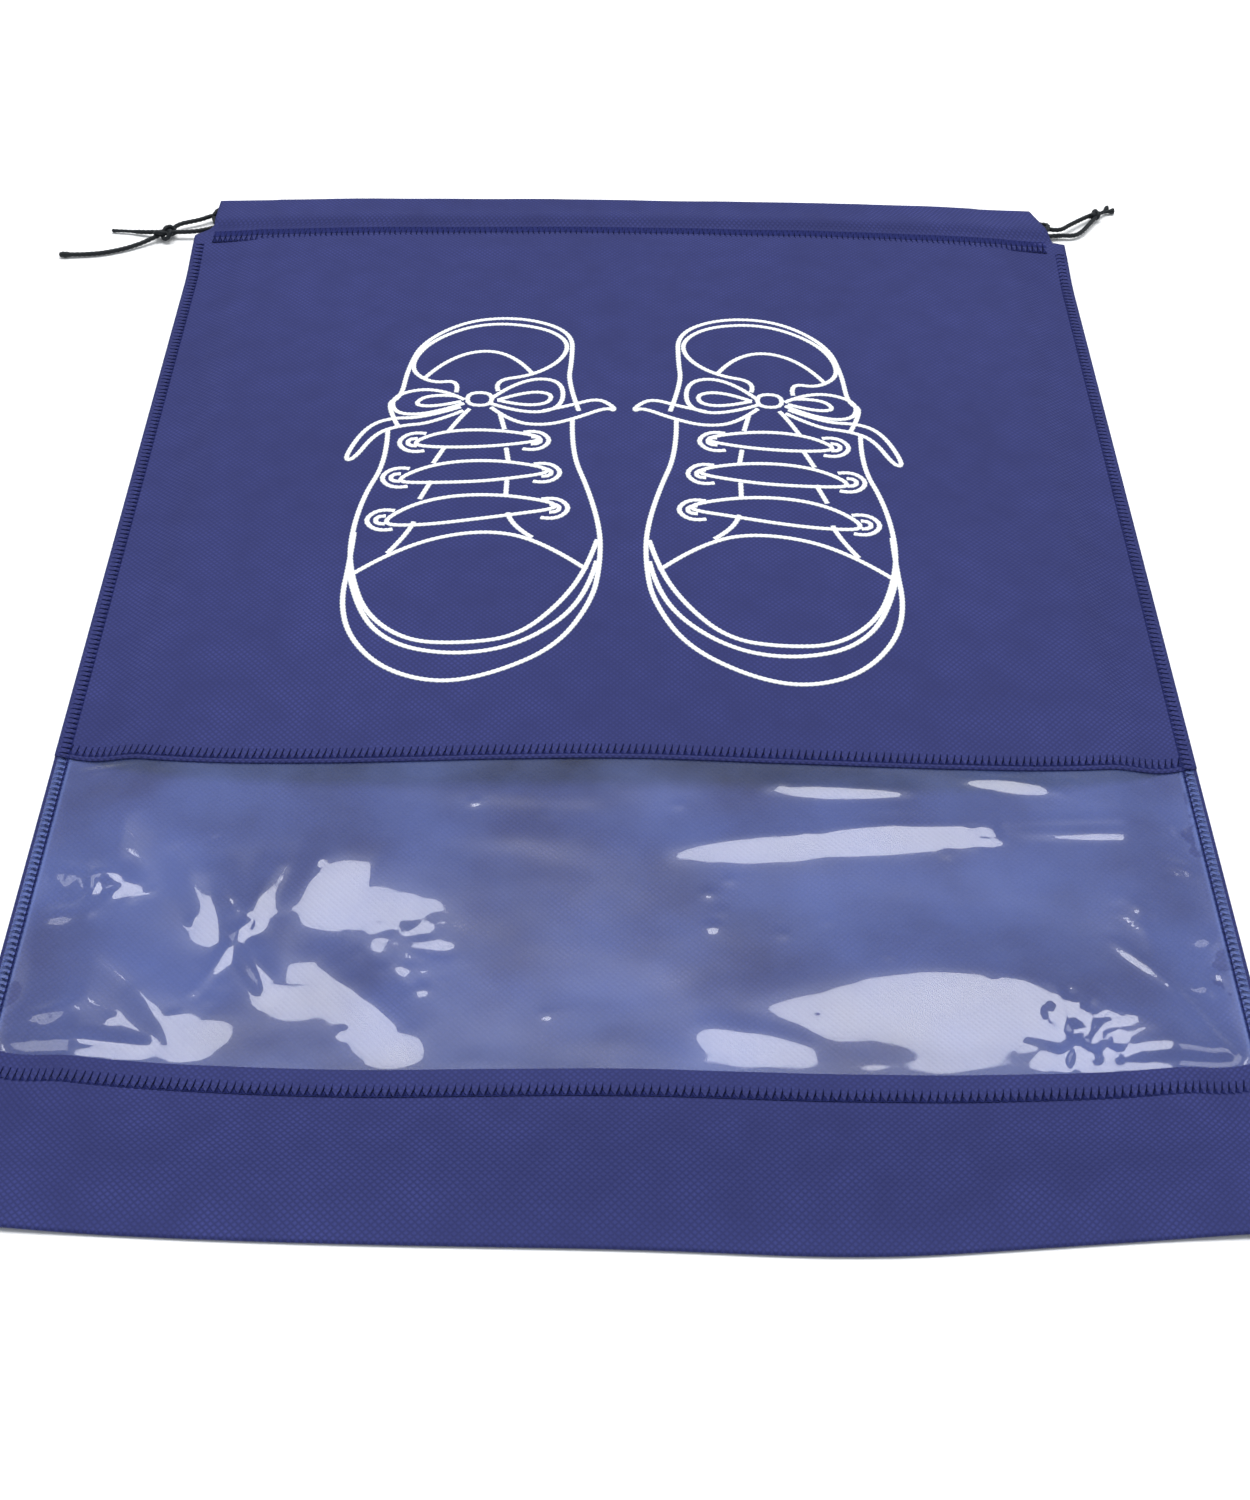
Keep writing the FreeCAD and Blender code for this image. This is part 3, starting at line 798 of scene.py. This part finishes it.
seamPiece(
    "windowTopStitches",
    "window_top_stitching",
    rowAcross(0.1555, lambda x: windowTopEdge(x) + 0.0035),
    0.0040,
)
seamPiece(
    "windowBottomStitches",
    "window_bottom_stitching",
    rowAcross(0.1555, lambda x: windowBottomEdge(x) - 0.0058),
    0.0038,
)
seamPiece(
    "frontHemStitches",
    "front_hem_stitching",
    rowAcross(0.1520, lambda x: bag["seam"]),
    0.0070,
    (-0.5, 0.0, 0.5),
)
backRow = {"half": 0.1330, "count": 157, "high": 0.0010}
hemPlaces = []
for i in range(backRow["count"]):
    x = -backRow["half"] + 2 * backRow["half"] * i / (backRow["count"] - 1)
    hemPlaces.append((Vector((x, bag["seam"], backRow["high"])), Vector((0, 1, 0)), Vector((0, 0, 1))))
seamPiece("backHemStitches", "back_hem_stitching", hemPlaces, 0.0070, (-0.5, 0.0, 0.5))
sideRow = {"out": 0.1574, "low": -0.2185, "long": 0.4125, "count": 212}
sideSeams = [
    (-1, "leftSideStitches", "left_side_stitching"),
    (1, "rightSideStitches", "right_side_stitching"),
]
for side, name, node in sideSeams:
    places = []
    for i in range(sideRow["count"]):
        y = sideRow["low"] + sideRow["long"] * i / (sideRow["count"] - 1)
        places.append((onFront(side * sideRow["out"], y), Vector((side, 0, 0)), Vector((0, 0, 1))))
    seamPiece(name, node, places, 0.0032)
print("seams stitched")


def inkMaterial():
    # white screen ink laid thick on the web: chalky, slightly domed, with pinholes from the fibres below
    material, tree, output = newMaterial("whiteScreenInk")
    coords = addNode(tree, "ShaderNodeTexCoord")
    grain = addNode(
        tree, "ShaderNodeTexNoise", {"Vector": coords.outputs["Object"], "Scale": 1500, "Detail": 3}
    )
    colour = colourRamp(
        tree, grain.outputs["Fac"], [(0.28, "#cfd4e2"), (0.45, "#eef1f4"), (0.7, "#f8faf8")]
    )
    bump = addNode(
        tree, "ShaderNodeBump", {"Height": grain.outputs["Fac"], "Strength": 0.3, "Distance": 0.0001}
    )
    shader = addNode(
        tree,
        "ShaderNodeBsdfPrincipled",
        {"Base Color": colour, "Roughness": 0.55, "Normal": bump.outputs["Normal"]},
    )
    tree.links.new(shader.outputs["BSDF"], output.inputs["Surface"])
    return material


inkLook = inkMaterial()
# a laced shoe in mm from the print's own middle line: (closed, points)
shoeLines = [
    (False, [
        (-29, 80), (-34, 92), (-29, 95), (-28, 112), (-24, 128), (-8, 141), (12, 142), (27, 133),
        (27, 116), (26, 104), (30, 88),
    ]),
    (False, [
        (3, 99), (1, 105), (14, 108), (24, 117), (26, 128), (16, 137), (-4, 139), (-22, 128),
        (-28, 112), (-20, 103), (-10, 105), (-11, 98),
    ]),
    (False, [(-22, 106), (-14, 120), (6, 123), (14, 109)]),
    (True, [(-7, 91), (-7, 98), (1, 98), (1, 91)]),
    (False, [(-8, 94), (-17, 101), (-32, 97), (-31, 86), (-18, 86), (-8, 92)]),
    (False, [(-11, 96), (-20, 97), (-25, 91), (-17, 90), (-9, 93)]),
    (False, [(1, 95), (10, 106), (24, 106), (25, 90), (13, 86), (1, 92)]),
    (False, [(3, 94), (12, 99), (21, 98), (20, 92), (11, 91), (3, 94)]),
    (False, [
        (-9, 90), (-20, 84), (-33, 84), (-40, 78), (-45, 63), (-42, 62), (-36, 76), (-28, 80),
        (-18, 81), (-8, 88),
    ]),
    (False, [
        (1, 90), (8, 82), (19, 80), (29, 84), (39, 90), (42, 88), (41, 91), (36, 95), (27, 91),
        (18, 88),
    ]),
    (False, [
        (-32, 78), (-31, 62), (-37, 43), (-39, 22), (-37, 6), (-31, -12), (-18, -24), (-2, -25),
        (14, -22), (26, -8), (34, 8), (37, 22),
    ]),
    (False, [
        (28, 84), (28, 66), (34, 46), (38, 26), (38, 10), (36, -6), (26, -26), (8, -38), (-8, -42),
        (-24, -36), (-35, -22), (-39, -6), (-38, 12), (-38, 26),
    ]),
    (False, [(-38, 8), (-34, -10), (-23, -25), (-6, -30), (12, -27), (27, -15), (35, 0), (37, 12)]),
    (False, [(-37, 6), (-24, 19), (0, 27), (20, 22), (34, 8)]),
    (False, [(-27, 16), (-21, 26), (-20, 31)]),
    (False, [(-19, 42), (-16, 51)]),
    (False, [(-16, 60), (-13, 68)]),
    (False, [(-12, 77), (-9, 84), (-6, 89)]),
    (False, [(17, 23), (10, 29), (9, 35)]),
    (False, [(8, 44), (8, 51)]),
    (False, [(8, 61), (7, 68)]),
    (False, [(6, 78), (4, 87)]),
    (True, [(-25, 70), (-14, 77), (4, 78), (22, 73), (5, 69), (-14, 68)]),
    (True, [(-29, 51), (-16, 60), (4, 62), (26, 56), (5, 51), (-16, 50)]),
    (True, [(-32, 30), (-18, 42), (4, 45), (30, 38), (5, 33), (-18, 29)]),
]
# eyelets: centre, and the side that the lace goes in from
eyelets = [(-23, 71, -1), (-27, 53, -1), (-30, 32, -1), (16, 72, 1), (20, 55, 1), (23, 37, 1)]
for middle, rise, side in eyelets:
    for reach, turns in ((5.8, (50, 100, 180, 260, 310)), (2.2, (60, 120, 180, 240, 300))):
        loop = [math.radians(t) for t in turns]
        shoeLines.append(
            (False, [(middle - side * reach * math.cos(t), rise + reach * math.sin(t)) for t in loop])
        )
ink = {"half": 0.00086, "bead": 0.10, "beadPitch": 0.0015, "step": 0.00040, "flat": 0.14}


def shoePrint(name, node, middle, mirror):
    source = bpy.data.curves.new(name, "CURVE")
    source.dimensions = "3D"
    lines = bpy.data.curves.new(name + "Lines", "CURVE")
    lines.dimensions = "3D"
    lines.bevel_depth = ink["half"]
    lines.bevel_resolution = 1
    lines.use_fill_caps = True
    for closed, points in shoeLines:
        source.splines.clear()
        spline = source.splines.new("NURBS")
        spline.points.add(len(points) - 1)
        for point, (px, py) in zip(spline.points, points):
            point.co = ((middle + mirror * px) / 1000, py / 1000, 0, 1)
        spline.order_u = 3
        spline.use_endpoint_u = not closed
        spline.use_cyclic_u = closed
        spline.resolution_u = 16
        smooth = readBack(name, source)
        if closed:
            smooth.append(smooth[0].copy())
        even, _ = evenPath(smooth, ink["step"])
        if closed:
            even.pop()
        line = lines.splines.new("POLY")
        line.points.add(len(even) - 1)
        line.use_cyclic_u = closed
        for i, (point, place) in enumerate(zip(line.points, even)):
            point.co = (*place, 1)
            point.radius = 1 + ink["bead"] * math.sin(2 * math.pi * i * ink["step"] / ink["beadPitch"])
    holder = bpy.data.objects.new(name + "Lines", lines)
    scene.collection.objects.link(holder)
    bpy.context.view_layer.update()
    mesh = bpy.data.meshes.new_from_object(holder)
    bpy.data.objects.remove(holder)
    bm = bmesh.new()
    bm.from_mesh(mesh)
    for vert in bm.verts:
        x, y, z = vert.co
        vert.co.z = frontTop(x, y) + z * ink["flat"] + 0.00001
    bmesh.ops.recalc_face_normals(bm, faces=bm.faces)
    return bind(finishMesh(bm, name, inkLook), "bag", "ink", node)


shoePrint("leftShoePrint", "left_shoe_print", -46.5, 1)
shoePrint("rightShoePrint", "right_shoe_print", 43.5, -1)
print("shoes printed")


def floorMaterial():
    # matt white table paper
    material, tree, output = newMaterial("mattWhitePaper")
    coords = addNode(tree, "ShaderNodeTexCoord")
    fibre = addNode(
        tree, "ShaderNodeTexNoise", {"Vector": coords.outputs["Object"], "Scale": 40, "Detail": 4}
    )
    colour = colourRamp(tree, fibre.outputs["Fac"], [(0.3, "#fafafa"), (0.7, "#ffffff")])
    shader = addNode(tree, "ShaderNodeBsdfPrincipled", {"Base Color": colour, "Roughness": 0.9})
    tree.links.new(shader.outputs["BSDF"], output.inputs["Surface"])
    return material


bm = bmesh.new()
bmesh.ops.create_grid(bm, x_segments=1, y_segments=1, size=6)
bmesh.ops.translate(bm, verts=bm.verts, vec=(0, 0, -0.0001))
floor = finishMesh(bm, "floor", floorMaterial(), smooth=False)

sky = bpy.data.worlds.new("studio")
sky.use_nodes = True
sky.node_tree.nodes["Background"].inputs["Color"].default_value = (0.90, 0.95, 1.0, 1)
sky.node_tree.nodes["Background"].inputs["Strength"].default_value = 0.51
scene.world = sky

lamps = [
    # name, place, aimed at, size, power
    ("overheadSoftbox", (0.0, 1.00, 3.30), (0, -0.10, 0), (3.2, 1.9), 118),
    ("leftPanel", (-2.40, 0.50, 2.10), (0, -0.10, 0), (1.30, 1.30), 12),
    ("rightPanel", (2.40, 0.60, 2.10), (0, -0.10, 0), (1.20, 1.30), 10),
]
for name, place, target, size, power in lamps:
    lamp = bpy.data.lights.new(name, "AREA")
    lamp.shape = "RECTANGLE"
    lamp.size, lamp.size_y = size
    lamp.energy = power
    holder = bpy.data.objects.new(name, lamp)
    holder.location = place
    holder.rotation_euler = (Vector(target) - Vector(place)).to_track_quat("-Z", "Y").to_euler()
    scene.collection.objects.link(holder)
print("lights set")
